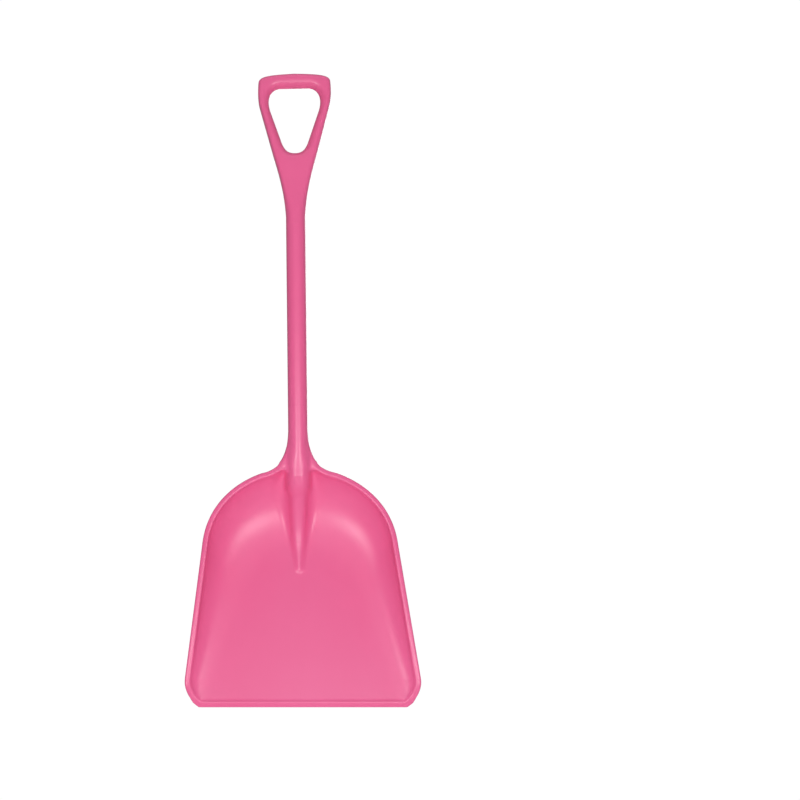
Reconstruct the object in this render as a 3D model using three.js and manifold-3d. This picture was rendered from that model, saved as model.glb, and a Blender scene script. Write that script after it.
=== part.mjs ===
// Grain scoop shovel: one polypropylene moulding with a deep spoon-shaped blade, a round shaft and a D grip.
// Each mesh is a named region of the moulding. Millimetres, +Z up the shaft, the open side of the scoop
// faces -Y, and the origin is at the bottom centre of the whole shovel.
import * as THREE from "three";
import Module from "manifold-3d";
import { mergeVertices } from "three/addons/utils/BufferGeometryUtils.js";

// Driving dimensions
const OVERALL_LENGTH = 980.4;
const BLADE_WIDTH = 350.5;
const BLADE_LENGTH = 350.5; // along the floor, from under the rear rim to the cutting edge
const BLADE_LIFT = THREE.MathUtils.degToRad(20); // between the floor and the shaft
const REAR_RIM_HEIGHT = 60; // above the floor
const FRONT_RIM_HEIGHT = 12;
const CORNER_RIM_HEIGHT = 3;
const WALL = 4;
const RIM_WIDTH = 7.5;
const RIM_DEPTH = 6;
const LIP_LENGTH = 10.8;
const LIP_BEVEL = 6;
const LIP_EDGE = 0.8; // thickness left at the cutting edge
const SHAFT_DIAMETER = 30.8;
const GRIP_WIDTH = 116.2;
const GRIP_THICKNESS = 23;
const GRIP_EDGE = 6; // rounding of the grip's front and back edges
const GAP = 0.3; // between neighbouring regions
const FLOOR_BEHIND_SHAFT = 51.4; // the floor's plane under the rear rim, behind the shaft's axis

const HALF_WIDTH = BLADE_WIDTH / 2;
const SHAFT_RADIUS = SHAFT_DIAMETER / 2;
const GRIP_HALF = GRIP_WIDTH / 2;
const TIP_DROP = BLADE_LENGTH * Math.cos(BLADE_LIFT) + WALL * Math.sin(BLADE_LIFT);

// Heights along the shaft
const NECK_TOP = 416;
const WEB_TOP = 400;
const YOKE_BOTTOM = 752;
const ARM_BOTTOM = 862;
const BAR_BOTTOM = 946;
const OPENING_BOTTOM = 855;
const OPENING_TOP = 958;

// The blade's floor plane passes through this point, under the rear rim
const FLOOR_ORIGIN = new THREE.Vector3(0, FLOOR_BEHIND_SHAFT, TIP_DROP);

// Plan curves of one half of the blade, in the floor's plane: x outwards, y towards the grip
const v2 = (x, y) => new THREE.Vector2(x, y);
const SIDE_START_Y = -115;
const SIDE_END_Y = -311;
const RIM_CURVES = [
  new THREE.CubicBezierCurve(v2(0, 6), v2(82, 6), v2(143, -46), v2(151, SIDE_START_Y)),
  new THREE.LineCurve(v2(151, SIDE_START_Y), v2(HALF_WIDTH, SIDE_END_Y)),
  new THREE.CubicBezierCurve(
    v2(HALF_WIDTH, SIDE_END_Y), v2(176.6, -328), v2(166, -342), v2(154, -BLADE_LENGTH),
  ),
];
const LIP_Y = -BLADE_LENGTH + LIP_LENGTH;
const FLOOR_CURVES = [
  new THREE.CubicBezierCurve(v2(0, -148), v2(50, -148), v2(95, -158), v2(103, -195)),
  new THREE.LineCurve(v2(103, -195), v2(139, SIDE_END_Y)),
  new THREE.CubicBezierCurve(v2(139, SIDE_END_Y), v2(141, -322), v2(143, -333), v2(147, LIP_Y)),
];

// Wall profile: a quarter ellipse cut off just before it turns upright
const PROFILE_CUT = 0.97;
const PROFILE_TOP = 1 - Math.sqrt(1 - PROFILE_CUT ** 2);
const profile = (s) => (1 - Math.sqrt(1 - (PROFILE_CUT * s) ** 2)) / PROFILE_TOP;
const profileInverse = (f) => Math.sqrt(1 - (1 - f * PROFILE_TOP) ** 2) / PROFILE_CUT;

const rimHeightAt = (y) => {
  const along = THREE.MathUtils.clamp(y / SIDE_END_Y, 0, 1);
  return THREE.MathUtils.lerp(REAR_RIM_HEIGHT, FRONT_RIM_HEIGHT, along);
};

// A station is a place along the half outline: u runs 0 to 1 round the shoulder, 1 to 2 down the side
// and 2 to 3 round the front corner.
function station(u) {
  const index = Math.min(Math.floor(u), RIM_CURVES.length - 1);
  const t = u - index;
  const outer = RIM_CURVES[index].getPoint(t);
  const tangent = RIM_CURVES[index].getTangent(t);
  const inner = outer.clone().add(v2(tangent.y, -tangent.x).multiplyScalar(RIM_WIDTH));
  inner.x = Math.max(inner.x, 0);
  const height = index < 2
    ? rimHeightAt(outer.y)
    : THREE.MathUtils.lerp(FRONT_RIM_HEIGHT, CORNER_RIM_HEIGHT, THREE.MathUtils.smoothstep(t, 0, 1));
  const depth = Math.min(RIM_DEPTH, height / 2);
  return { outer, inner, height, depth, floor: FLOOR_CURVES[index].getPoint(t) };
}

// The pan's inner surface at a station, from the floor's edge (s = 0) to the rim's inner edge (s = 1)
function panPoint(place, s, side) {
  const plan = place.floor.clone().lerp(place.inner, s);
  return new THREE.Vector3(side * plan.x, plan.y, place.height * profile(s));
}

// Height of the pan's inner surface over a point of the floor's plane, from its nearest higher contour
const PAN_LEVELS = 160;
const PAN_STATIONS = 60;
const panLevels = Array.from({ length: PAN_LEVELS + 1 }, (_, i) => (
  Array.from({ length: PAN_STATIONS + 1 }, (_, k) => (
    panPoint(station((2 * k) / PAN_STATIONS), i / PAN_LEVELS, 1)
  ))
));
function panHeight(x, y) {
  const across = Math.abs(x);
  for (const level of panLevels) {
    const next = level.findIndex((p) => p.y < y);
    if (next < 1) continue;
    const t = (level[next - 1].y - y) / (level[next - 1].y - level[next].y);
    const crossing = level[next - 1].clone().lerp(level[next], t);
    if (crossing.x >= across) return crossing.z;
  }
  return REAR_RIM_HEIGHT;
}

// Solids from grids of points
function solidFrom(points, triangles) {
  const geometry = new THREE.BufferGeometry();
  const numbers = points.flatMap((p) => p.toArray());
  geometry.setAttribute("position", new THREE.Float32BufferAttribute(numbers, 3));
  geometry.setIndex(triangles.flat());
  return volumeOf(geometry) < 0 ? turnedOut(geometry) : geometry;
}

function volumeOf(geometry) {
  const index = geometry.getIndex();
  const places = geometry.getAttribute("position");
  const corner = (i) => new THREE.Vector3().fromBufferAttribute(places, index.getX(i));
  let total = 0;
  for (let i = 0; i < index.count; i += 3) total += corner(i).dot(corner(i + 1).cross(corner(i + 2))) / 6;
  return total;
}

function turnedOut(geometry) {
  const index = geometry.getIndex();
  for (let i = 0; i < index.count; i += 3) {
    const first = index.getX(i);
    index.setX(i, index.getX(i + 1));
    index.setX(i + 1, first);
  }
  return geometry;
}

// A closed slab between a front grid and a back grid of the same size
function slab(front, back) {
  const rows = front.length;
  const columns = front[0].length;
  const at = (layer, r, c) => (layer * rows + r) * columns + c;
  const triangles = [];
  const quad = (a, b, c, d) => triangles.push([a, b, c], [a, c, d]);
  for (let r = 0; r < rows - 1; r += 1) {
    for (let c = 0; c < columns - 1; c += 1) {
      quad(at(0, r, c), at(0, r, c + 1), at(0, r + 1, c + 1), at(0, r + 1, c));
      quad(at(1, r, c), at(1, r + 1, c), at(1, r + 1, c + 1), at(1, r, c + 1));
    }
  }
  for (let r = 0; r < rows - 1; r += 1) {
    quad(at(0, r, 0), at(0, r + 1, 0), at(1, r + 1, 0), at(1, r, 0));
    const last = columns - 1;
    quad(at(0, r + 1, last), at(0, r, last), at(1, r, last), at(1, r + 1, last));
  }
  for (let c = 0; c < columns - 1; c += 1) {
    quad(at(0, 0, c + 1), at(0, 0, c), at(1, 0, c), at(1, 0, c + 1));
    quad(at(0, rows - 1, c), at(0, rows - 1, c + 1), at(1, rows - 1, c + 1), at(1, rows - 1, c));
  }
  return solidFrom([...front.flat(), ...back.flat()], triangles);
}

// The grid moved into the material by the wall's thickness, square to its own surface
function behind(grid, thickness) {
  const rows = grid.length;
  const columns = grid[0].length;
  return grid.map((row, r) => row.map((point, c) => {
    const along = grid[Math.min(r + 1, rows - 1)][c].clone().sub(grid[Math.max(r - 1, 0)][c]);
    const across = grid[r][Math.min(c + 1, columns - 1)].clone().sub(grid[r][Math.max(c - 1, 0)]);
    const normal = along.cross(across).normalize();
    if (normal.z > 0) normal.negate();
    return point.clone().addScaledVector(normal, thickness);
  }));
}

// Booleans
const WELD = 1e-4;
const wasm = await Module();
wasm.setup();
function toManifold(geometry) {
  const bare = geometry.clone();
  bare.deleteAttribute("normal");
  bare.deleteAttribute("uv");
  const merged = mergeVertices(bare, WELD);
  const mesh = new wasm.Mesh({
    numProp: 3,
    vertProperties: merged.getAttribute("position").array,
    triVerts: new Uint32Array(merged.getIndex().array),
  });
  return new wasm.Manifold(mesh);
}
function fromManifold(solid) {
  const mesh = solid.getMesh();
  const geometry = new THREE.BufferGeometry();
  geometry.setAttribute("position", new THREE.BufferAttribute(new Float32Array(mesh.vertProperties), 3));
  geometry.setIndex(new THREE.BufferAttribute(new Uint32Array(mesh.triVerts), 1));
  return geometry;
}
function slabOfSpace(low, high) {
  const size = new THREE.Vector3().subVectors(high, low);
  const middle = new THREE.Vector3().addVectors(low, high).multiplyScalar(0.5);
  return toManifold(new THREE.BoxGeometry(size.x, size.y, size.z).translate(middle.x, middle.y, middle.z));
}

// The whole shovel, and the blade's own group with its floor in the XY plane
const shovel = new THREE.Group();
const blade = new THREE.Group();
blade.position.copy(FLOOR_ORIGIN);
blade.rotation.x = Math.PI / 2 - BLADE_LIFT;
shovel.add(blade);

const PINK = 0xe9699a;
const SATIN = 0.42;
function add(group, name, geometry) {
  const plastic = new THREE.MeshStandardMaterial({ color: PINK, roughness: SATIN, metalness: 0 });
  const mesh = new THREE.Mesh(geometry, plastic);
  mesh.name = name;
  group.add(mesh);
}

// Floor: a flat plate between the walls and the lip
const FLOOR_STEPS = 14;
function floorPlate() {
  const outline = [];
  for (const curve of FLOOR_CURVES) outline.push(...curve.getPoints(FLOOR_STEPS).slice(outline.length ? 1 : 0));
  outline[outline.length - 1].y += GAP;
  const inset = (p) => v2(Math.max(p.x - GAP, 0), p.y);
  const right = outline.map(inset);
  const left = right.slice(1).reverse().map((p) => v2(-p.x, p.y));
  const shape = new THREE.Shape([...left, ...right]);
  const plate = new THREE.ExtrudeGeometry(shape, { depth: WALL, bevelEnabled: false });
  return plate.translate(0, 0, -WALL);
}

// A stretch of the wall between two stations, up to the rim
const WALL_STEPS = 10;
function wallStretch(from, to, steps, side) {
  const front = Array.from({ length: steps + 1 }, (_, k) => {
    const place = station(THREE.MathUtils.lerp(from, to, k / steps));
    const span = place.floor.distanceTo(place.inner);
    const low = GAP / span;
    const high = profileInverse((place.height - place.depth - GAP) / place.height);
    return Array.from({ length: WALL_STEPS + 1 }, (_, i) => (
      panPoint(place, THREE.MathUtils.lerp(low, high, i / WALL_STEPS), side)
    ));
  });
  return { front, back: behind(front, WALL) };
}

function wall(from, to, steps, side) {
  const { front, back } = wallStretch(from, to, steps, side);
  return slab(front, back);
}

// The rear wall runs through the middle, from the left half into the right half
function rearWall(to, steps) {
  const right = wallStretch(0, to, steps, 1).front;
  const left = wallStretch(0, to, steps, -1).front.slice(1).reverse();
  const front = [...left, ...right];
  return slab(front, behind(front, WALL));
}

// A stretch of the thick rim along the top of the wall
function rimRow(u, side) {
  const place = station(u);
  const low = place.height - place.depth;
  const foot = panPoint(place, profileInverse(low / place.height), side);
  const top = [
    new THREE.Vector3(side * place.outer.x, place.outer.y, place.height),
    new THREE.Vector3(side * place.inner.x, place.inner.y, place.height),
  ];
  const bottom = [new THREE.Vector3(side * place.outer.x, place.outer.y, low), foot];
  return { top, bottom };
}
function rim(from, to, steps, side) {
  const rows = Array.from({ length: steps + 1 }, (_, k) => (
    rimRow(THREE.MathUtils.lerp(from, to, k / steps), side)
  ));
  return slab(rows.map((row) => row.top), rows.map((row) => row.bottom));
}
function rearRim(to, steps) {
  const right = Array.from({ length: steps + 1 }, (_, k) => rimRow((to * k) / steps, 1));
  const left = Array.from({ length: steps }, (_, k) => rimRow((to * (k + 1)) / steps, -1)).reverse();
  const rows = [...left, ...right];
  return slab(rows.map((row) => row.top), rows.map((row) => row.bottom));
}

// Lip: the cutting edge, bevelled on the open side
function lip() {
  const rows = [
    { y: LIP_Y, z: 0 },
    { y: -BLADE_LENGTH + LIP_BEVEL, z: 0 },
    { y: -BLADE_LENGTH, z: LIP_EDGE - WALL },
  ];
  const end = station(3);
  const halfAt = (y) => THREE.MathUtils.mapLinear(y, LIP_Y, -BLADE_LENGTH, end.floor.x, end.outer.x) - GAP;
  const grid = (level) => rows.map((row) => [-1, 1].map((side) => (
    new THREE.Vector3(side * halfAt(row.y), row.y, level(row))
  )));
  return slab(grid((row) => row.z), grid(() => -WALL));
}

// Rib: the shaft runs on into the pan as a ridge and sinks to a low tongue on the floor
const RIB_TOP_Y = 6;
const RIB_END_Y = -106;
const TONGUE_END_Y = -148;
const RIB_CREST_TOP = 68;
const TONGUE_HEIGHT = 3.5;
const RIB_FOOT_TOP = 21;
const RIB_FOOT_END = 12;
const TONGUE_HALF = 7.5;
const TONGUE_END_SHARE = 0.3; // of the tongue's width and height, left at its end
const THIN_EDGE = 0.8;
const DESCENT_START = -0.25; // shares of the rib's length between which its crest comes down
const DESCENT_END = 1.05;
function crestHeight(y) {
  const along = THREE.MathUtils.mapLinear(y, RIB_TOP_Y, RIB_END_Y, 0, 1);
  const descent = THREE.MathUtils.smoothstep(along, DESCENT_START, DESCENT_END);
  return THREE.MathUtils.lerp(RIB_CREST_TOP, TONGUE_HEIGHT, descent);
}
const ribAcross = [-1, -0.85, -0.6, -0.35, 0, 0.35, 0.6, 0.85, 1];
const CREST_FLATNESS = 3.2;
const FLANK_STEEPNESS = 0.9;
const ribShape = (a) => (1 - Math.abs(a) ** CREST_FLATNESS) ** FLANK_STEEPNESS;
const CLEARANCE = 1; // the rib's underside follows the pan as it is this far up the slope
const restingHeight = (x, y) => panHeight(x + Math.sign(x) * CLEARANCE, y + CLEARANCE) + 2 * GAP;
function rib() {
  const ROWS = 24;
  const belowRim = RIB_TOP_Y - RIM_WIDTH - CLEARANCE;
  const rowPlaces = [RIB_TOP_Y];
  for (let r = 0; r <= ROWS; r += 1) rowPlaces.push(THREE.MathUtils.lerp(belowRim, RIB_END_Y, r / ROWS));
  const front = [];
  const back = [];
  for (const y of rowPlaces) {
    const foot = THREE.MathUtils.mapLinear(y, RIB_TOP_Y, RIB_END_Y, RIB_FOOT_TOP, RIB_FOOT_END);
    const crest = crestHeight(y);
    const backRow = ribAcross.map((a) => new THREE.Vector3(a * foot, y, restingHeight(a * foot, y)));
    back.push(backRow);
    front.push(backRow.map((p, i) => {
      const rise = Math.max(THIN_EDGE, (crest - p.z) * ribShape(ribAcross[i]));
      return new THREE.Vector3(p.x, y, p.z + rise);
    }));
  }
  return slab(front, back);
}
function tongue() {
  const ROWS = 8;
  const front = [];
  const back = [];
  for (let r = 0; r <= ROWS; r += 1) {
    const y = THREE.MathUtils.lerp(RIB_END_Y - GAP, TONGUE_END_Y, r / ROWS);
    const fromEnd = THREE.MathUtils.clamp((y - TONGUE_END_Y) / TONGUE_HALF, 0, 1);
    const half = TONGUE_HALF * Math.max(TONGUE_END_SHARE, Math.sqrt(1 - (1 - fromEnd) ** 2));
    const backRow = ribAcross.map((a) => new THREE.Vector3(a * half, y, restingHeight(a * half, y)));
    back.push(backRow);
    front.push(backRow.map((p, i) => {
      const full = TONGUE_HEIGHT * ribShape(ribAcross[i]);
      const rise = Math.max(THIN_EDGE, full * Math.max(TONGUE_END_SHARE, fromEnd));
      return new THREE.Vector3(p.x, y, p.z + rise);
    }));
  }
  return slab(front, back);
}

const REAR_END = 0.24;
const SHOULDER_END = 1;
const SIDE_END = 2;
const CORNER_END = 3;
const TRIM = 0.0035; // of a curve, which leaves the gap between two stretches
const REAR_STEPS = 6;
const SHOULDER_STEPS = 18;
const SIDE_STEPS = 8;
const CORNER_STEPS = 10;

add(blade, "blade_floor", floorPlate());
add(blade, "cutting_lip", lip());
add(blade, "rear_wall", rearWall(REAR_END, REAR_STEPS));
add(blade, "rear_rim", rearRim(REAR_END, REAR_STEPS));
const STRETCHES = [
  ["shoulder", REAR_END + TRIM, SHOULDER_END - TRIM, SHOULDER_STEPS],
  ["side", SHOULDER_END + TRIM, SIDE_END - TRIM, SIDE_STEPS],
  ["corner", SIDE_END + 2 * TRIM, CORNER_END, CORNER_STEPS],
];
for (const [hand, side] of [["left", -1], ["right", 1]]) {
  for (const [place, from, to, steps] of STRETCHES) {
    add(blade, `${hand}_${place}_wall`, wall(from, to, steps, side));
    add(blade, `${hand}_${place}_rim`, rim(from, to, steps, side));
  }
}
add(blade, "centre_rib", rib());
add(blade, "rib_tongue", tongue());

// Shaft, and the neck that ends on a slant against the blade's rear rim
const ROUND_SIDES = 48;
function roundBar(low, high) {
  const bar = new THREE.CylinderGeometry(SHAFT_RADIUS, SHAFT_RADIUS, high - low, ROUND_SIDES);
  return bar.rotateX(Math.PI / 2).translate(0, 0, (low + high) / 2);
}
const NECK_BOTTOM = 330;
const SPACE = 400; // wider than anything near the neck
function neck() {
  const underRim = new THREE.BoxGeometry(SPACE, SPACE, SPACE).translate(0, -SPACE / 2 + RIB_TOP_Y + GAP, 0);
  underRim.rotateX(Math.PI / 2 - BLADE_LIFT).translate(...FLOOR_ORIGIN.toArray());
  return fromManifold(toManifold(roundBar(NECK_BOTTOM, NECK_TOP - GAP)).subtract(toManifold(underRim)));
}

// Webs: concave plates that carry the rear rim up into the neck
const WEB_FRONT_Y = -2.6;
const WEB_THICKNESS = 7;
const WEB_RIM_SHARE = 0.26; // of the shoulder's curve, which the web stands on
const WEB_RIM_STEPS = 40;
const WEB_SWEEP_STEPS = 16;
const WEB_FOOT_GAP = 0.5;
function web(side) {
  const rimRise = REAR_RIM_HEIGHT * Math.sin(BLADE_LIFT);
  const lift = (p) => v2(p.x, FLOOR_ORIGIN.z + p.y * Math.cos(BLADE_LIFT) + rimRise);
  const inner = SHAFT_RADIUS + GAP;
  const foot = Array.from({ length: WEB_RIM_STEPS + 1 }, (_, k) => (
    lift(RIM_CURVES[0].getPoint((k / WEB_RIM_STEPS) * WEB_RIM_SHARE)).add(v2(0, WEB_FOOT_GAP))
  ));
  const alongRim = foot.filter((p) => p.x > inner);
  const start = v2(inner, foot[0].y);
  const last = alongRim[alongRim.length - 1];
  const sweep = new THREE.CubicBezierCurve(last, v2(30, 358), v2(20, 372), v2(inner + 2 * GAP, WEB_TOP));
  const outline = [start, ...alongRim, ...sweep.getPoints(WEB_SWEEP_STEPS).slice(1), v2(inner, WEB_TOP)];
  const shape = new THREE.Shape(outline.map((p) => v2(side * p.x, p.y)));
  const plate = new THREE.ExtrudeGeometry(shape, { depth: WEB_THICKNESS, bevelEnabled: false });
  return plate.rotateX(Math.PI / 2).translate(0, WEB_FRONT_Y + WEB_THICKNESS, 0);
}

add(shovel, "shaft", roundBar(NECK_TOP, YOKE_BOTTOM - GAP));
add(shovel, "neck", neck());
add(shovel, "left_neck_web", web(-1));
add(shovel, "right_neck_web", web(1));

// Grip: a flat yoke that widens into a D with a triangular hand opening, from curves of its right half
const YOKE_SIDE = v2(34.6, 851.5);
const ARM_SIDE = v2(GRIP_HALF - 2.6, 929);
const BAR_SIDE = v2(GRIP_HALF - 1, 968);
const gripSide = [
  new THREE.CubicBezierCurve(v2(SHAFT_RADIUS, YOKE_BOTTOM), v2(17.5, 790), v2(24, 815), YOKE_SIDE),
  new THREE.LineCurve(YOKE_SIDE, ARM_SIDE),
  new THREE.CubicBezierCurve(ARM_SIDE, v2(GRIP_HALF + 0.3, 942), v2(GRIP_HALF + 0.3, 953), BAR_SIDE),
  new THREE.CubicBezierCurve(BAR_SIDE, v2(GRIP_HALF - 3, 978), v2(36, 979), v2(0, OVERALL_LENGTH)),
];
const OPENING_HALF = 40.9;
const OPENING_LOW_SIDE = v2(20.4, 871.5);
const OPENING_HIGH_SIDE = v2(OPENING_HALF - 2.8, 922.5);
const openingSide = [
  new THREE.CubicBezierCurve(v2(0, OPENING_BOTTOM), v2(11, OPENING_BOTTOM), v2(16, 860), OPENING_LOW_SIDE),
  new THREE.LineCurve(OPENING_LOW_SIDE, OPENING_HIGH_SIDE),
  new THREE.CubicBezierCurve(
    OPENING_HIGH_SIDE, v2(OPENING_HALF + 3.5, 945), v2(OPENING_HALF - 4, OPENING_TOP), v2(26, OPENING_TOP),
  ),
];
const GRIP_CURVE_STEPS = 8;
const GRIP_EDGE_STEPS = 3;
function mirroredOutline(curves) {
  const steps = (curve) => (curve.isLineCurve ? 1 : GRIP_CURVE_STEPS);
  const right = [curves[0].getPoint(0), ...curves.flatMap((curve) => curve.getPoints(steps(curve)).slice(1))];
  const left = right.filter((p) => p.x > 0).reverse().map((p) => v2(-p.x, p.y));
  return [...right, ...left];
}
function gripBody() {
  const shape = new THREE.Shape(mirroredOutline(gripSide));
  shape.holes.push(new THREE.Path(mirroredOutline(openingSide)));
  const body = new THREE.ExtrudeGeometry(shape, {
    depth: GRIP_THICKNESS - 2 * GRIP_EDGE,
    bevelThickness: GRIP_EDGE,
    bevelSize: GRIP_EDGE,
    bevelOffset: -GRIP_EDGE,
    bevelSegments: GRIP_EDGE_STEPS,
  });
  return body.translate(0, 0, -(GRIP_THICKNESS / 2 - GRIP_EDGE)).rotateX(Math.PI / 2);
}
const grip = toManifold(gripBody());
const REACH = 200; // beyond the grip on every side
const GRIP_REGIONS = {
  yoke: [[-REACH, YOKE_BOTTOM - REACH], [REACH, ARM_BOTTOM - GAP]],
  left_grip_arm: [[-REACH, ARM_BOTTOM], [0, BAR_BOTTOM - GAP]],
  right_grip_arm: [[0, ARM_BOTTOM], [REACH, BAR_BOTTOM - GAP]],
  grip_crossbar: [[-REACH, BAR_BOTTOM], [REACH, OVERALL_LENGTH + REACH]],
};
for (const [name, [low, high]] of Object.entries(GRIP_REGIONS)) {
  const [near, far] = [new THREE.Vector3(low[0], -REACH, low[1]), new THREE.Vector3(high[0], REACH, high[1])];
  const region = slabOfSpace(near, far);
  add(shovel, name, fromManifold(grip.intersect(region)));
}

// The origin sits midway between the cutting lip and the back of the shovel
const extent = new THREE.Box3().setFromObject(shovel, true);
shovel.position.y = -(extent.min.y + extent.max.y) / 2;

export default shovel;
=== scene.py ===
import math

import bpy
import numpy as np
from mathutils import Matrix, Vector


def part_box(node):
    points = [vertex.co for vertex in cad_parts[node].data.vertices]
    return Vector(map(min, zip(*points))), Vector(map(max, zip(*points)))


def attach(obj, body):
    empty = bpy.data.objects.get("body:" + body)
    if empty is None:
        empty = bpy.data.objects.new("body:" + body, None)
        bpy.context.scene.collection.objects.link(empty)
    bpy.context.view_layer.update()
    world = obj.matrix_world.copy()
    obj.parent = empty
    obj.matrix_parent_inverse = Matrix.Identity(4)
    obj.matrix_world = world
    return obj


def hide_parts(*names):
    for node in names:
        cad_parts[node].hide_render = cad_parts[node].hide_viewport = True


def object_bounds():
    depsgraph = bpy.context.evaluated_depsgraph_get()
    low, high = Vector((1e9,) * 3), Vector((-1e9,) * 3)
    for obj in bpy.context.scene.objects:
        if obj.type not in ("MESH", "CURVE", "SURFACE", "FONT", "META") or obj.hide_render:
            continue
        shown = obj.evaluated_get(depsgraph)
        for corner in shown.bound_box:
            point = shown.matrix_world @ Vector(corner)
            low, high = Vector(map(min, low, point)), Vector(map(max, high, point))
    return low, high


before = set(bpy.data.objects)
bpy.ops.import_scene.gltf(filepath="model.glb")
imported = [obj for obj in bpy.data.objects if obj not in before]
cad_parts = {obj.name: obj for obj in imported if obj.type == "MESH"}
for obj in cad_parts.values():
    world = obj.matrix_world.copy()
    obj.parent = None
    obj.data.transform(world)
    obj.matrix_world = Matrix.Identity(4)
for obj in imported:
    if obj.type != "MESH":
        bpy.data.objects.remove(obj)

import openvdb
from mathutils import Matrix, Vector

cad_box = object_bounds()

# The shovel is one moulding, so its shape is one distance field: each region is a formula, neighbours
# are blended with the fillets of a moulded part, and the field is turned into a fine mesh. Lengths are
# millimetres in the CAD's own frame until the mesh is made.
MM = 0.001
VOXEL = 1.15


def node_box(name):
    low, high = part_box(name)
    return np.array(low) / MM, np.array(high) / MM


shaft_low, shaft_high = node_box("shaft")
bar_low, bar_high = node_box("grip_crossbar")

# Sizes that the CAD gives
SHAFT_Y = (shaft_low[1] + shaft_high[1]) / 2
SHAFT_RADIUS = (shaft_high[0] - shaft_low[0]) / 2
GRIP_TOP = bar_high[2]
GRIP_HALF = bar_high[0]
GRIP_THICKNESS = bar_high[1] - bar_low[1]

# Driving sizes of the blade, as in the CAD
LIFT = math.radians(20)
BLADE_LENGTH = 350.5
HALF_WIDTH = 175.25
REAR_RIM_HEIGHT = 60
FRONT_RIM_HEIGHT = 12
CORNER_RIM_HEIGHT = 2
WALL = 4
RIM_WIDTH = 7.5
RIM_DEPTH = 6
LIP_LENGTH = 10.8
FLOOR_BEHIND_SHAFT = 51.4
FLOOR_Y = SHAFT_Y + FLOOR_BEHIND_SHAFT
FLOOR_Z = BLADE_LENGTH * math.cos(LIFT) + WALL * math.sin(LIFT)


# ---------------------------------------------------------------- field tools
def smooth_min(a, b, radius):
    near = np.maximum(radius - np.abs(a - b), 0) / radius
    return np.minimum(a, b) - near * near * radius / 4


def smooth_max(a, b, radius):
    return -smooth_min(-a, -b, radius)


def bezier(start, first, second, end, steps):
    t = np.linspace(0, 1, steps + 1)[:, None]
    points = [np.array(p, float) for p in (start, first, second, end)]
    weights = [(1 - t) ** 3, 3 * t * (1 - t) ** 2, 3 * t * t * (1 - t), t**3]
    return sum(w * p for w, p in zip(weights, points))


def line(start, end, steps):
    t = np.linspace(0, 1, steps + 1)[:, None]
    return (1 - t) * np.array(start, float) + t * np.array(end, float)


def joined(*stretches):
    return np.vstack([stretches[0]] + [s[1:] for s in stretches[1:]])


def distance_to(path, points):
    """Distance from each point to a polyline, in the plane."""
    best = np.full(len(points), np.inf)
    for a, b in zip(path[:-1], path[1:]):
        step = b - a
        t = np.clip((points - a) @ step / (step @ step), 0, 1)
        off = points - a - t[:, None] * step
        best = np.minimum(best, off[:, 0] ** 2 + off[:, 1] ** 2)
    return np.sqrt(best)


class Chart:
    """Values known on a regular grid of a plane, read anywhere by bilinear interpolation."""

    def __init__(self, low, high, step):
        self.low = np.array(low, float)
        self.step = step
        self.size = [int(round((h - l) / step)) + 1 for l, h in zip(low, high)]
        across, up = (l + step * np.arange(n) for l, n in zip(low, self.size))
        self.points = np.stack(np.meshgrid(across, up, indexing="ij"), axis=-1).reshape(-1, 2)
        self.layers = {}

    def add(self, name, values):
        self.layers[name] = values.reshape(self.size).astype(np.float32)

    def soften(self, name, reach):
        """Running mean over a square window."""
        layer = self.layers[name]
        for axis in (0, 1):
            spread = [(0, 0), (0, 0)]
            spread[axis] = (reach, reach)
            padded = np.pad(layer, spread, mode="reflect")
            size = layer.shape[axis]
            shifted = [padded.take(range(k, k + size), axis) for k in range(2 * reach + 1)]
            layer = np.mean(shifted, axis=0, dtype=np.float32)
        self.layers[name] = layer

    def add_slopes(self, name):
        across, up = np.gradient(self.layers[name], self.step)
        self.layers[name + "_across"] = across
        self.layers[name + "_up"] = up

    def read(self, a, b, *names):
        place_a = np.clip((a - self.low[0]) / self.step, 0, self.size[0] - 1.001)
        place_b = np.clip((b - self.low[1]) / self.step, 0, self.size[1] - 1.001)
        i = place_a.astype(np.int32)
        j = place_b.astype(np.int32)
        s = (place_a - i).astype(np.float32)
        t = (place_b - j).astype(np.float32)
        found = []
        for name in names:
            layer = self.layers[name]
            low = layer[i, j] * (1 - s) + layer[i + 1, j] * s
            high = layer[i, j + 1] * (1 - s) + layer[i + 1, j + 1] * s
            found.append(low * (1 - t) + high * t)
        return found


# ---------------------------------------------------------------- blade
# Plan curves of one half of the blade in the floor's plane: x outwards, y towards the grip
CURVE_STEPS = 80
SIDE_START_Y = -115
SIDE_END_Y = -311
LIP_Y = LIP_LENGTH - BLADE_LENGTH
FLARE_END = (58, -5)
rim_outer = joined(
    bezier((0, 34), (23, 34), (21, 1.5), FLARE_END, CURVE_STEPS),
    bezier(FLARE_END, (110, -23), (146, -62), (151, SIDE_START_Y), CURVE_STEPS),
    line((151, SIDE_START_Y), (HALF_WIDTH, SIDE_END_Y), CURVE_STEPS),
    bezier((HALF_WIDTH, SIDE_END_Y), (176.6, -328), (166, -342), (154, -BLADE_LENGTH), CURVE_STEPS),
)
floor_edge = joined(
    line((0, -141), (14, -142.5), CURVE_STEPS),
    bezier((14, -142.5), (50, -147), (82, -176), (93, -215), CURVE_STEPS),
    line((93, -215), (124, SIDE_END_Y), CURVE_STEPS),
    bezier((124, SIDE_END_Y), (128, -325), (134, -335), (140, LIP_Y), CURVE_STEPS),
)
# Soft start of the wall where it leaves the floor
RISE_EASE = 1.4
RISE_PAST_RIM = 1.4
PROFILE_CUT = 0.97
PROFILE_TOP = 1 - math.sqrt(1 - PROFILE_CUT**2)


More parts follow.
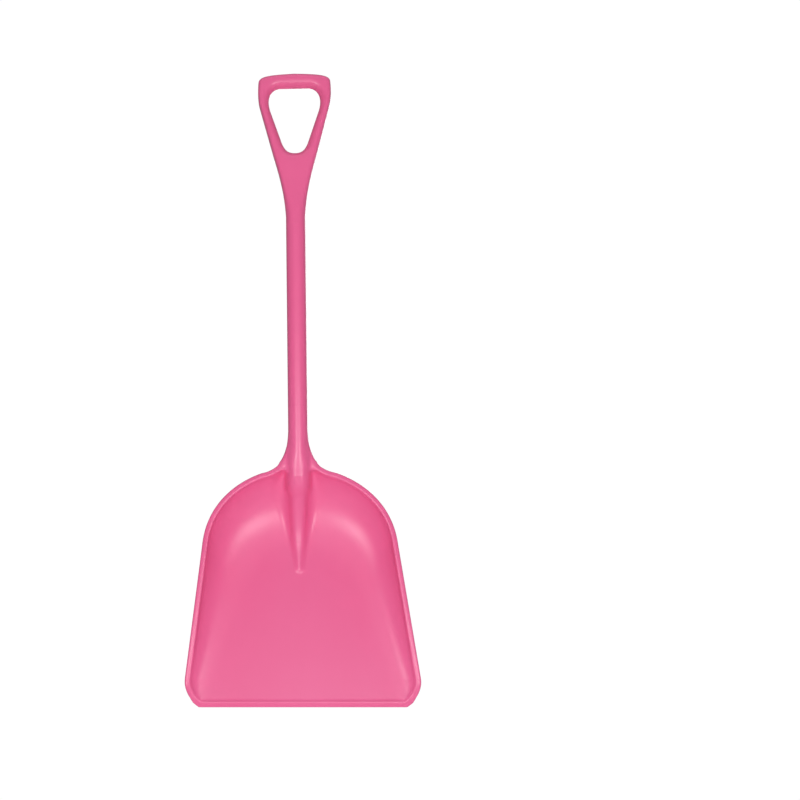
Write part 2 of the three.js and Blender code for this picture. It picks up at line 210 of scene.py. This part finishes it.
def rim_inner_edge():
    along = np.gradient(rim_outer, axis=0)
    along /= np.linalg.norm(along, axis=1)[:, None]
    inner = rim_outer + RIM_WIDTH * np.stack([along[:, 1], -along[:, 0]], axis=1)
    inner[:, 0] = np.maximum(inner[:, 0], 0)
    return inner


def rim_heights():
    along = np.clip(rim_outer[:, 1] / SIDE_END_Y, 0, 1)
    height = REAR_RIM_HEIGHT + (FRONT_RIM_HEIGHT - REAR_RIM_HEIGHT) * along
    t = np.linspace(0, 1, CURVE_STEPS + 1)
    ease = t * t * (3 - 2 * t)
    height[-CURVE_STEPS - 1:] = FRONT_RIM_HEIGHT + (CORNER_RIM_HEIGHT - FRONT_RIM_HEIGHT) * ease
    return height


CHART_LOW = (0, -362)
CHART_HIGH = (196, 40)
CHART_STEP = 1.0
RISE_SOFTENING = 4  # chart steps


def blade_chart():
    """For each point of the floor's plane: how far up the wall it lies, the rim's height there, and the
    distance to the outline."""
    chart = Chart(CHART_LOW, CHART_HIGH, CHART_STEP)
    points = chart.points
    inner = rim_inner_edge()
    height = rim_heights()
    ray = inner - floor_edge
    side = np.stack([
        ray[k, 0] * (points[:, 1] - floor_edge[k, 1]) - ray[k, 1] * (points[:, 0] - floor_edge[k, 0])
        for k in range(len(ray))
    ])
    passed = side[1:] >= 0
    k = np.argmax(passed, axis=0)
    on_a_ray = passed.any(axis=0)
    here = np.arange(len(points))
    before, after = side[k, here], side[k + 1, here]
    t = np.clip(before / np.minimum(before - after, -1e-9), 0, 1)[:, None]
    foot = floor_edge[k] * (1 - t) + floor_edge[k + 1] * t
    along = ray[k] * (1 - t) + ray[k + 1] * t
    rise = ((points - foot) * along).sum(axis=1) / (along * along).sum(axis=1)
    rise = np.where(on_a_ray, np.clip(rise, 0, RISE_PAST_RIM) ** RISE_EASE, 0)
    rim_height = height[k] * (1 - t[:, 0]) + height[k + 1] * t[:, 0]
    at_the_lip = (rise == 0) & (points[:, 1] < LIP_Y)
    rim_height = np.where(at_the_lip | ~on_a_ray, CORNER_RIM_HEIGHT, rim_height)
    chart.add("rise", rise)
    chart.soften("rise", RISE_SOFTENING)
    chart.soften("rise", RISE_SOFTENING)
    chart.add_slopes("rise")
    chart.add("height", rim_height)
    half = np.interp(-points[:, 1], -rim_outer[:, 1], rim_outer[:, 0])
    inside = (points[:, 0] < half) & (points[:, 1] < rim_outer[0, 1]) & (points[:, 1] > -BLADE_LENGTH)
    sign = np.where(inside, -1, 1)
    front_edge = line(rim_outer[-1], (0, -BLADE_LENGTH), 1)
    to_rim = distance_to(rim_outer[::2], points)
    chart.add("outline", np.minimum(to_rim, distance_to(front_edge, points)) * sign)
    return chart


chart = blade_chart()

# The rib's crest, by its height over the floor: the shaft's front, a straight run down, then the tongue
KNEE_Y = -12
KNEE_HEIGHT = 67.2
KNEE_BLEND = 8
CREST_UNDER_SHAFT = 3  # the crest keeps below the shaft's front past the knee
CREST_FALL_AWAY = 0.3
RUN_SLOPE = 0.83
TONGUE_HEIGHT = 2.4
TONGUE_SLOPE = 0.15
TONGUE_END_Y = -150
TONGUE_BLEND = 30
RIB_TOP_Y = 24
RIB_ROUNDING = 7
# (y along the floor, size) pairs: the rib's half width, and its fillet against the pan
RIB_HALF_STATIONS = ((TONGUE_END_Y, 4.2), (-104, 7.6), (KNEE_Y, 8.8))
RIB_DRAFT = 0.5
RIB_FILLETS = ((TONGUE_END_Y, 3), (-104, 6), (-35, 18), (-10, 14), (8, 6))


def station_value(y, stations):
    places, values = zip(*stations)
    return np.interp(y, places, values).astype(np.float32)


def crest_height(y):
    run = KNEE_HEIGHT + RUN_SLOPE * (y - KNEE_Y)
    return smooth_max(run, TONGUE_HEIGHT + TONGUE_SLOPE * (y - TONGUE_END_Y), TONGUE_BLEND)


def rib_crest_height(y):
    past_knee = y - KNEE_Y
    shaft_front = KNEE_HEIGHT - CREST_UNDER_SHAFT + math.tan(LIFT) * past_knee
    shaft_front = shaft_front - CREST_FALL_AWAY * np.maximum(past_knee, 0)
    return smooth_min(crest_height(y), shaft_front, KNEE_BLEND)


def blade_frame(y, z):
    """World y and z as y along the floor and height over it."""
    along = (y - FLOOR_Y) * math.sin(LIFT) + (z - FLOOR_Z) * math.cos(LIFT)
    over = -(y - FLOOR_Y) * math.cos(LIFT) + (z - FLOOR_Z) * math.sin(LIFT)
    return along, over


TINY = 1e-4
FAR_FROM_PAN = 60


def pan_depth(x, along, over):
    """Distance to the pan's inner surface, positive in the open pan and negative in the material."""
    rise, across, up, height = chart.read(x, along, "rise", "rise_across", "rise_up", "height")
    q = PROFILE_CUT * rise
    b = np.maximum(1 - PROFILE_TOP * over / height, 0)
    radius = np.sqrt(q * q + b * b) + TINY
    slope_x = q * PROFILE_CUT * across / radius
    slope_y = q * PROFILE_CUT * up / radius
    slope_z = b * PROFILE_TOP / height / radius
    slope = np.sqrt(slope_x**2 + slope_y**2 + slope_z**2) + TINY
    return np.clip((1 - radius) / slope, -FAR_FROM_PAN, FAR_FROM_PAN)


BEVEL_LENGTH = 6.5
BEVEL_DROP = 3.4
BEVEL_ROUNDING = 1.2
LIP_RIDGE_HEIGHT = 1.2
RIM_ROUNDING = 1.9
RIM_FILLET = 4
WALL_UNDER_RIM = 1.5
WALL_TOP_ROUNDING = 0.8
OUTLINE_ROUNDING = 1


def rounded_box(off_a, off_b, rounding):
    """Distance to a box from the distances past its two pairs of sides, with rounded edges."""
    corner = np.hypot(np.maximum(off_a, 0), np.maximum(off_b, 0))
    return corner + np.minimum(np.maximum(off_a, off_b), 0) - rounding


def surface_over(over, height_at, along):
    """Distance above a surface given by its height along the floor."""
    slope = height_at(along + 0.5) - height_at(along - 0.5)
    return (over - height_at(along)) / np.sqrt(1 + slope**2)


def blade_field(x, y, z):
    along, over = blade_frame(y, z)
    depth = pan_depth(x, along, over)
    height, outline = chart.read(x, along, "height", "outline")
    shell = np.abs(depth + WALL / 2) - WALL / 2
    shell = smooth_max(shell, over - (height - WALL_UNDER_RIM), WALL_TOP_ROUNDING)
    shell = smooth_max(shell, outline, OUTLINE_ROUNDING)

    rim_depth = np.minimum(RIM_DEPTH, height / 2 + 1)
    across_rim = np.abs(-outline - RIM_WIDTH / 2) - (RIM_WIDTH / 2 - RIM_ROUNDING)
    down_rim = np.abs(over - height + rim_depth / 2) - np.maximum(rim_depth / 2 - RIM_ROUNDING, 0.1)
    field = smooth_min(shell, rounded_box(across_rim, down_rim, RIM_ROUNDING), RIM_FILLET)

    bevel_size = math.hypot(BEVEL_LENGTH, BEVEL_DROP)
    past_bevel = (BEVEL_LENGTH - BLADE_LENGTH - along) * BEVEL_DROP
    bevel = (past_bevel + (over - LIP_RIDGE_HEIGHT) * BEVEL_LENGTH) / bevel_size
    field = smooth_max(field, bevel, BEVEL_ROUNDING)

    cut_top = surface_over(over, crest_height, along)
    top = surface_over(over, rib_crest_height, along)
    half = station_value(along, RIB_HALF_STATIONS)
    end_y = TONGUE_END_Y + RIB_HALF_STATIONS[0][1]
    round_end = np.hypot(x, np.maximum(end_y - along, 0))
    below_crest = np.maximum(rib_crest_height(along) - over, 0)
    flank = (round_end - half - RIB_DRAFT * below_crest) * math.cos(math.atan(RIB_DRAFT))
    back = -WALL - depth
    rib = smooth_max(top, flank, RIB_ROUNDING)
    rib = np.maximum(np.maximum(rib, along - RIB_TOP_Y), back)
    blended = np.maximum(smooth_min(field, rib, station_value(along, RIB_FILLETS)), back)
    return np.minimum(field, blended), cut_top


# ---------------------------------------------------------------- shaft and neck
NECK_END_Z = 318
WEB_TOP_Z = 414
WEB_Y = SHAFT_Y + 0.9
WEB_THICKNESS = 7.5
WEB_ROUNDING = 4
SHAFT_RUN_OUT = 18
NECK_END_ROUNDING = 14
WEB_STEPS = 40
web_edge = bezier((27, 362), (20, 372), (17, 386), (8, 413), WEB_STEPS)


def neck_field(x, y, z, crest_top):
    along, _ = blade_frame(y, z)
    shaft = np.hypot(x, y - SHAFT_Y) - SHAFT_RADIUS
    shaft = smooth_max(shaft, crest_top, SHAFT_RUN_OUT)
    shaft = smooth_max(shaft, NECK_END_Z - z, NECK_END_ROUNDING)
    edge = np.interp(z, web_edge[:, 1], web_edge[:, 0])
    lean = np.interp(z + 1, web_edge[:, 1], web_edge[:, 0]) - edge
    web = (x - edge) / np.sqrt(1 + lean**2)
    web = smooth_max(web, np.abs(y - WEB_Y) - WEB_THICKNESS / 2, WEB_ROUNDING)
    web = np.maximum(web, 1 - along)
    web = np.maximum(web, z - WEB_TOP_Z)
    return shaft, web


# ---------------------------------------------------------------- grip
YOKE_BOTTOM = shaft_high[2]
OPENING_TOP = 958
OPENING_BOTTOM = 855


GRIP_STEPS = 20
YOKE_STEPS = 40
GRIP_MARGIN = 14  # of the chart beyond the grip
YOKE_SIDE = (34.6, 851.5)
ARM_SIDE = (GRIP_HALF - 2.4, 929)
BAR_SIDE = (GRIP_HALF - 0.8, 968)
OPENING_LOW_SIDE = (20.4, 871.5)
OPENING_HIGH_SIDE = (38.1, 922.5)
OPENING_TOP_SIDE = (22, OPENING_TOP)


def grip_chart():
    """For each point of the grip's plane: the distances to its outline and to the hand opening's edge."""
    chart = Chart((0, YOKE_BOTTOM - 40), (GRIP_HALF + GRIP_MARGIN, GRIP_TOP + GRIP_MARGIN), CHART_STEP)
    outer = joined(
        line((SHAFT_RADIUS, YOKE_BOTTOM - 60), (SHAFT_RADIUS, YOKE_BOTTOM), 1),
        bezier((SHAFT_RADIUS, YOKE_BOTTOM), (17.5, 790), (24, 815), YOKE_SIDE, YOKE_STEPS),
        line(YOKE_SIDE, ARM_SIDE, GRIP_STEPS),
        bezier(ARM_SIDE, (GRIP_HALF + 0.5, 942), (GRIP_HALF + 0.5, 953), BAR_SIDE, GRIP_STEPS),
        bezier(BAR_SIDE, (GRIP_HALF - 3, 978), (36, 979), (0, GRIP_TOP), YOKE_STEPS),
    )
    opening_side = joined(
        bezier((0, OPENING_BOTTOM), (11, OPENING_BOTTOM), (16, 860), OPENING_LOW_SIDE, GRIP_STEPS),
        line(OPENING_LOW_SIDE, OPENING_HIGH_SIDE, GRIP_STEPS),
        bezier(OPENING_HIGH_SIDE, (44.6, 943), (37, OPENING_TOP - 0.5), OPENING_TOP_SIDE, GRIP_STEPS),
    )
    opening = joined(opening_side, line(OPENING_TOP_SIDE, (0, OPENING_TOP), 4))
    points = chart.points
    across, up = points[:, 0], points[:, 1]
    edge = np.interp(up, outer[:, 1], outer[:, 0])
    in_outer = (across < edge) & (up < GRIP_TOP)
    opening_edge = np.interp(up, opening_side[:, 1], opening_side[:, 0])
    in_opening = (across < opening_edge) & (up > OPENING_BOTTOM) & (up < OPENING_TOP)
    chart.add("outer", distance_to(outer, points) * np.where(in_outer, -1, 1))
    chart.add("opening", distance_to(opening, points) * np.where(in_opening, 1, -1))
    return chart


grip_plan = grip_chart()
GRIP_ROUNDING = 8
OPENING_ROUNDING = 15
OPENING_BLEND = 3
ROUND_END_Z = YOKE_BOTTOM - 4
FLAT_START_Z = YOKE_BOTTOM + 62


def rounded_edge(plan, thick, rounding):
    """A slab whose outline has edges rounded by the radius."""
    return rounded_box(plan + rounding, thick + rounding, rounding)


def upper_field(x, y, z):
    """The round shaft turning into the flat yoke, then the D grip."""
    outer, opening = grip_plan.read(x, z, "outer", "opening")
    flatness = np.clip((z - ROUND_END_Z) / (FLAT_START_Z - ROUND_END_Z), 0, 1)
    flatness = flatness * flatness * (3 - 2 * flatness)
    rounding = SHAFT_RADIUS + (GRIP_ROUNDING - SHAFT_RADIUS) * flatness
    half_thickness = SHAFT_RADIUS + (GRIP_THICKNESS / 2 - SHAFT_RADIUS) * flatness
    thick = np.abs(y - SHAFT_Y) - half_thickness
    body = rounded_edge(outer, thick, rounding)
    return smooth_max(body, rounded_edge(opening, thick, OPENING_ROUNDING), OPENING_BLEND)


# ---------------------------------------------------------------- whole field, in blocks along the shaft
BLADE_TOP_Z = 430
GRIP_START_Z = YOKE_BOTTOM - 12
NECK_FILLET = 13
WEB_FILLET = 8


def lower_field(x, y, z):
    blade, crest_top = blade_field(x, y, z)
    shaft, web = neck_field(x, y, z, crest_top)
    field = smooth_min(blade, shaft, NECK_FILLET)
    return smooth_min(field, web, WEB_FILLET)


def shaft_field(x, y, z):
    return np.hypot(x, y - SHAFT_Y) - SHAFT_RADIUS


BAND = 3 * VOXEL
MARGIN = 6
BACK_MARGIN = 16  # the rounded back reaches further behind than the CAD's facets
BAR_REACH = 24  # half the depth that the shaft and the grip need
bar_depth = (SHAFT_Y - BAR_REACH, SHAFT_Y + BAR_REACH)
blade_depth = (cad_box[0][1] / MM - MARGIN, cad_box[1][1] / MM + BACK_MARGIN)
BLOCKS = [
    (lower_field, HALF_WIDTH + MARGIN, blade_depth, (-MARGIN, BLADE_TOP_Z)),
    (shaft_field, BAR_REACH, bar_depth, (BLADE_TOP_Z, GRIP_START_Z)),
    (upper_field, GRIP_HALF + MARGIN, bar_depth, (GRIP_START_Z, GRIP_TOP + MARGIN)),
]


def sampled(field, half, y_range, z_range):
    """The field on the shared lattice, worked out on the right half and mirrored."""
    first = [int(math.ceil(y_range[0] / VOXEL)), int(math.ceil(z_range[0] / VOXEL))]
    last = [int(math.ceil(y_range[1] / VOXEL)), int(math.ceil(z_range[1] / VOXEL))]
    reach = int(math.ceil(half / VOXEL))
    x = (np.arange(reach + 1) * VOXEL).astype(np.float32)[:, None, None]
    y = (np.arange(first[0], last[0]) * VOXEL).astype(np.float32)[None, :, None]
    z = (np.arange(first[1], last[1]) * VOXEL).astype(np.float32)[None, None, :]
    shape = (reach + 1, y.shape[1], z.shape[2])
    values = field(*(np.broadcast_to(v, shape) for v in (x, y, z)))
    values = np.clip(values, -BAND, BAND).astype(np.float32)
    return np.concatenate([values[:0:-1], values]), (-reach, first[0], first[1])


def moulding_points_and_quads():
    grid = openvdb.FloatGrid()
    grid.background = BAND
    for block in BLOCKS:
        values, corner = sampled(*block)
        grid.copyFromArray(values, ijk=corner)
    return grid.convertToQuads(isovalue=0)


def mesh_from(name, points, quads):
    mesh = bpy.data.meshes.new(name)
    mesh.vertices.add(len(points))
    mesh.vertices.foreach_set("co", points.astype(np.float32).ravel())
    mesh.loops.add(quads.size)
    mesh.loops.foreach_set("vertex_index", quads.astype(np.int32).ravel())
    mesh.polygons.add(len(quads))
    mesh.polygons.foreach_set("loop_start", np.arange(0, quads.size, 4, dtype=np.int32))
    mesh.update(calc_edges=True)
    mesh.validate()
    mesh.shade_smooth()
    return mesh


points, quads = moulding_points_and_quads()
points = points * VOXEL * MM
corner_a, corner_b, corner_c = (points[quads[:, k]] for k in range(3))
volume = (corner_a * np.cross(corner_b, corner_c)).sum()
if volume < 0:
    quads = quads[:, ::-1]
moulding = bpy.data.objects.new("shovel_moulding", mesh_from("shovel_moulding", points, quads))
bpy.context.collection.objects.link(moulding)
print("moulding:", len(points), "points", len(quads), "quads")


# ---------------------------------------------------------------- material
class Shading:
    """Small helpers that add nodes to one material."""

    def __init__(self, name):
        self.material = bpy.data.materials.new(name)
        self.material.use_nodes = True
        self.nodes = self.material.node_tree.nodes
        self.links = self.material.node_tree.links
        self.shader = self.nodes["Principled BSDF"]
        self.place = self.nodes.new("ShaderNodeTexCoord").outputs["Object"]
        split = self.nodes.new("ShaderNodeSeparateXYZ")
        self.links.new(self.place, split.inputs[0])
        self.axes = split.outputs

    def noise(self, scale, detail, stretch=(1, 1, 1)):
        mapping = self.nodes.new("ShaderNodeMapping")
        mapping.inputs["Scale"].default_value = stretch
        self.links.new(self.place, mapping.inputs["Vector"])
        noise = self.nodes.new("ShaderNodeTexNoise")
        noise.inputs["Scale"].default_value = scale
        noise.inputs["Detail"].default_value = detail
        self.links.new(mapping.outputs["Vector"], noise.inputs["Vector"])
        return noise.outputs["Fac"]

    def math(self, operation, *values):
        node = self.nodes.new("ShaderNodeMath")
        node.operation = operation
        for socket, value in zip(node.inputs, values):
            if isinstance(value, (int, float)):
                socket.default_value = value
            else:
                self.links.new(value, socket)
        return node.outputs["Value"]

    def between(self, value, low, high, to_low, to_high):
        node = self.nodes.new("ShaderNodeMapRange")
        limits = {"From Min": low, "From Max": high, "To Min": to_low, "To Max": to_high}
        for name, number in limits.items():
            node.inputs[name].default_value = number
        self.links.new(value, node.inputs["Value"])
        return node.outputs["Result"]

    def line_at(self, axis, place, half_width):
        """1 on a thin line across one axis, 0 off it."""
        return self.math("COMPARE", self.axes[axis], place, half_width)

    def above(self, axis, limit):
        return self.math("GREATER_THAN", self.axes[axis], limit)

    def bumped(self, height, strength, distance, below=None):
        node = self.nodes.new("ShaderNodeBump")
        node.inputs["Strength"].default_value = strength
        node.inputs["Distance"].default_value = distance
        self.links.new(height, node.inputs["Height"])
        if below is not None:
            self.links.new(below, node.inputs["Normal"])
        return node.outputs["Normal"]

    def blend(self, factor, first, second):
        node = self.nodes.new("ShaderNodeMix")
        node.data_type = "RGBA"
        self.links.new(factor, node.inputs["Factor"])
        for name, colour in (("A", first), ("B", second)):
            socket = next(i for i in node.inputs if i.name == name and i.type == "RGBA")
            if isinstance(colour, tuple):
                socket.default_value = (*colour, 1)
            else:
                self.links.new(colour, socket)
        return next(o for o in node.outputs if o.type == "RGBA")


PINK = (0.87, 0.121, 0.306)
PALER_PINK = (0.88, 0.138, 0.332)
# deeper pink painted along the witness lines as shade in their grooves
LINE_SHADE_PINK = (0.80, 0.085, 0.23)
PLASTIC_IOR = 1.49
# Metres from here on
SHAFT_LINE_Z = 0.452
SHAFT_LINE_HALF = 0.0004
RIB_LINE_Z = 0.236
RIB_LINE_HALF = 0.0005
RIB_LINE_REACH = 0.0065
PARTING_START_Z = 0.43
PARTING_HALF = 0.0003
LINE_DEPTH = 0.0002
LINE_SHADE = 0.35


def plastic():
    """Moulded polypropylene: satin gloss, faint flow marks, fine grain, parting and witness lines; the
    witness lines are grooves with painted shade in a deeper pink.
    """
    look = Shading("pink_polypropylene")
    shader = look.shader
    shader.inputs["IOR"].default_value = PLASTIC_IOR
    flow = look.noise(7, 4, (1, 1, 0.35))
    colour = look.blend(look.between(flow, 0.3, 0.7, 0, 1), PINK, PALER_PINK)
    shaft_line = look.line_at("Z", SHAFT_LINE_Z, SHAFT_LINE_HALF)
    on_rib = look.math("LESS_THAN", look.math("ABSOLUTE", look.axes["X"]), RIB_LINE_REACH)
    rib_line = look.math("MULTIPLY", look.line_at("Z", RIB_LINE_Z, RIB_LINE_HALF), on_rib)
    witness_groove_and_shade = look.math("MAXIMUM", shaft_line, rib_line)
    parting = look.line_at("Y", SHAFT_Y * MM, PARTING_HALF)
    parting = look.math("MULTIPLY", parting, look.above("Z", PARTING_START_Z))
    # painted shade: the witness lines are coloured towards a deeper pink, standing in for the shade in
    # their grooves
    colour = look.blend(look.math("MULTIPLY", witness_groove_and_shade, LINE_SHADE), colour, LINE_SHADE_PINK)
    look.links.new(colour, shader.inputs["Base Color"])
    streaks = look.between(look.noise(60, 5, (9, 9, 0.5)), 0.35, 0.7, 0.3, 0.325)
    clouds = look.between(look.noise(16, 3), 0.3, 0.7, -0.01, 0.02)
    look.links.new(look.math("ADD", streaks, clouds), shader.inputs["Roughness"])
    normal = look.bumped(look.noise(30, 1), 0.25, 0.0003)
    normal = look.bumped(look.noise(1500, 2), 0.04, 0.00005, normal)
    normal = look.bumped(parting, 0.6, LINE_DEPTH, normal)
    normal = look.bumped(look.math("SUBTRACT", 1.0, witness_groove_and_shade), 0.6, LINE_DEPTH, normal)
    look.links.new(normal, shader.inputs["Normal"])
    return look.material


moulding.data.materials.append(plastic())
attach(moulding, "root")
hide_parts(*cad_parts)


# ---------------------------------------------------------------- stage, lights and camera
def shown_white(nodes, links, lit, strength):
    """A shader that the camera sees as plain white, and that lights the shovel as the given one does."""
    seen = nodes.new("ShaderNodeEmission")
    seen.inputs["Color"].default_value = (1, 1, 1, 1)
    seen.inputs["Strength"].default_value = strength
    path = nodes.new("ShaderNodeLightPath")
    mix = nodes.new("ShaderNodeMixShader")
    links.new(path.outputs["Is Camera Ray"], mix.inputs["Fac"])
    links.new(lit, mix.inputs[1])
    links.new(seen.outputs["Emission"], mix.inputs[2])
    return mix.outputs["Shader"]


BACKDROP_STRENGTH = 1.02
FLOOR_GREY = 0.8
FLOOR_ROUGHNESS = 0.9


def pale_floor_material():
    material = bpy.data.materials.new("pale_floor")
    material.use_nodes = True
    nodes, links = material.node_tree.nodes, material.node_tree.links
    shader = nodes["Principled BSDF"]
    shader.inputs["Base Color"].default_value = (FLOOR_GREY, FLOOR_GREY, FLOOR_GREY, 1)
    shader.inputs["Roughness"].default_value = FLOOR_ROUGHNESS
    shown = shown_white(nodes, links, shader.outputs["BSDF"], BACKDROP_STRENGTH)
    links.new(shown, nodes["Material Output"].inputs["Surface"])
    return material


FLOOR_DROP = 0.3
FLOOR_REACH = 12
floor_mesh = bpy.data.meshes.new("studio_floor")
floor_mesh.from_pydata(
    [(x * FLOOR_REACH, y * FLOOR_REACH, -FLOOR_DROP) for x, y in ((-1, -1), (1, -1), (1, 1), (-1, 1))],
    [],
    [(0, 1, 2, 3)],
)
floor = bpy.data.objects.new("studio_floor", floor_mesh)
bpy.context.collection.objects.link(floor)
floor.data.materials.append(pale_floor_material())


def studio_world(strength):
    """White surroundings for the shovel."""
    world = bpy.data.worlds.new("studio")
    bpy.context.scene.world = world
    world.use_nodes = True
    nodes, links = world.node_tree.nodes, world.node_tree.links
    lit = nodes["Background"]
    lit.inputs["Color"].default_value = (1, 1, 1, 1)
    lit.inputs["Strength"].default_value = strength
    shown = shown_white(nodes, links, lit.outputs["Background"], BACKDROP_STRENGTH)
    links.new(shown, nodes["World Output"].inputs["Surface"])


WORLD_STRENGTH = 0.27
studio_world(WORLD_STRENGTH)

SOFTBOX_DISTANCE = 2.0
middle = Vector((0, SHAFT_Y * MM, GRIP_TOP * MM / 2))


def softbox(name, azimuth, elevation, size, power):
    """A rectangular light that looks at the shovel's middle; degrees, metres and watts."""
    data = bpy.data.lights.new(name, "AREA")
    data.shape = "RECTANGLE"
    data.size, data.size_y = size
    data.energy = power
    lamp = bpy.data.objects.new(name, data)
    a, e = math.radians(azimuth), math.radians(elevation)
    away = Vector((math.sin(a) * math.cos(e), -math.cos(a) * math.cos(e), math.sin(e)))
    lamp.location = middle + away * SOFTBOX_DISTANCE
    lamp.rotation_euler = away.to_track_quat("Z", "Y").to_euler()
    bpy.context.collection.objects.link(lamp)


softbox("left_softbox", -17, -7, (0.6, 0.5), 11.2)
softbox("right_softbox", 15, -7, (0.6, 0.5), 11)
softbox("strip_softbox", 2, 12, (0.3, 0.5), 1.1)
softbox("top_softbox", -4, 60, (1.4, 0.9), 3.6)
softbox("rear_softbox", 165, 15, (1.4, 1.4), 20)

CAMERA_DISTANCE = 1.25
CAMERA_HEIGHT = 0.388
CAMERA_AZIMUTH = math.radians(-2.5)
CAMERA_YAW = math.radians(4)
CAMERA_PITCH = math.radians(1.5)
CAMERA_ROLL = math.radians(-0.5)
CAMERA_LENS = 35.53
CAMERA_SHIFT = (0.1967, 0.0322)
camera_data = bpy.data.cameras.new("camera")
camera_data.lens = CAMERA_LENS
camera_data.shift_x, camera_data.shift_y = CAMERA_SHIFT
camera = bpy.data.objects.new("camera", camera_data)
camera.matrix_world = (
    Matrix.Translation(Vector((0, SHAFT_Y * MM, CAMERA_HEIGHT)))
    @ Matrix.Rotation(CAMERA_AZIMUTH, 4, "Z")
    @ Matrix.Translation(Vector((0, -CAMERA_DISTANCE, 0)))
    @ Matrix.Rotation(CAMERA_YAW, 4, "Z")
    @ Matrix.Rotation(math.pi / 2 + CAMERA_PITCH, 4, "X")
    @ Matrix.Rotation(CAMERA_ROLL, 4, "Z")
)
bpy.context.collection.objects.link(camera)
bpy.context.scene.camera = camera
bpy.context.scene.view_settings.view_transform = "Standard"
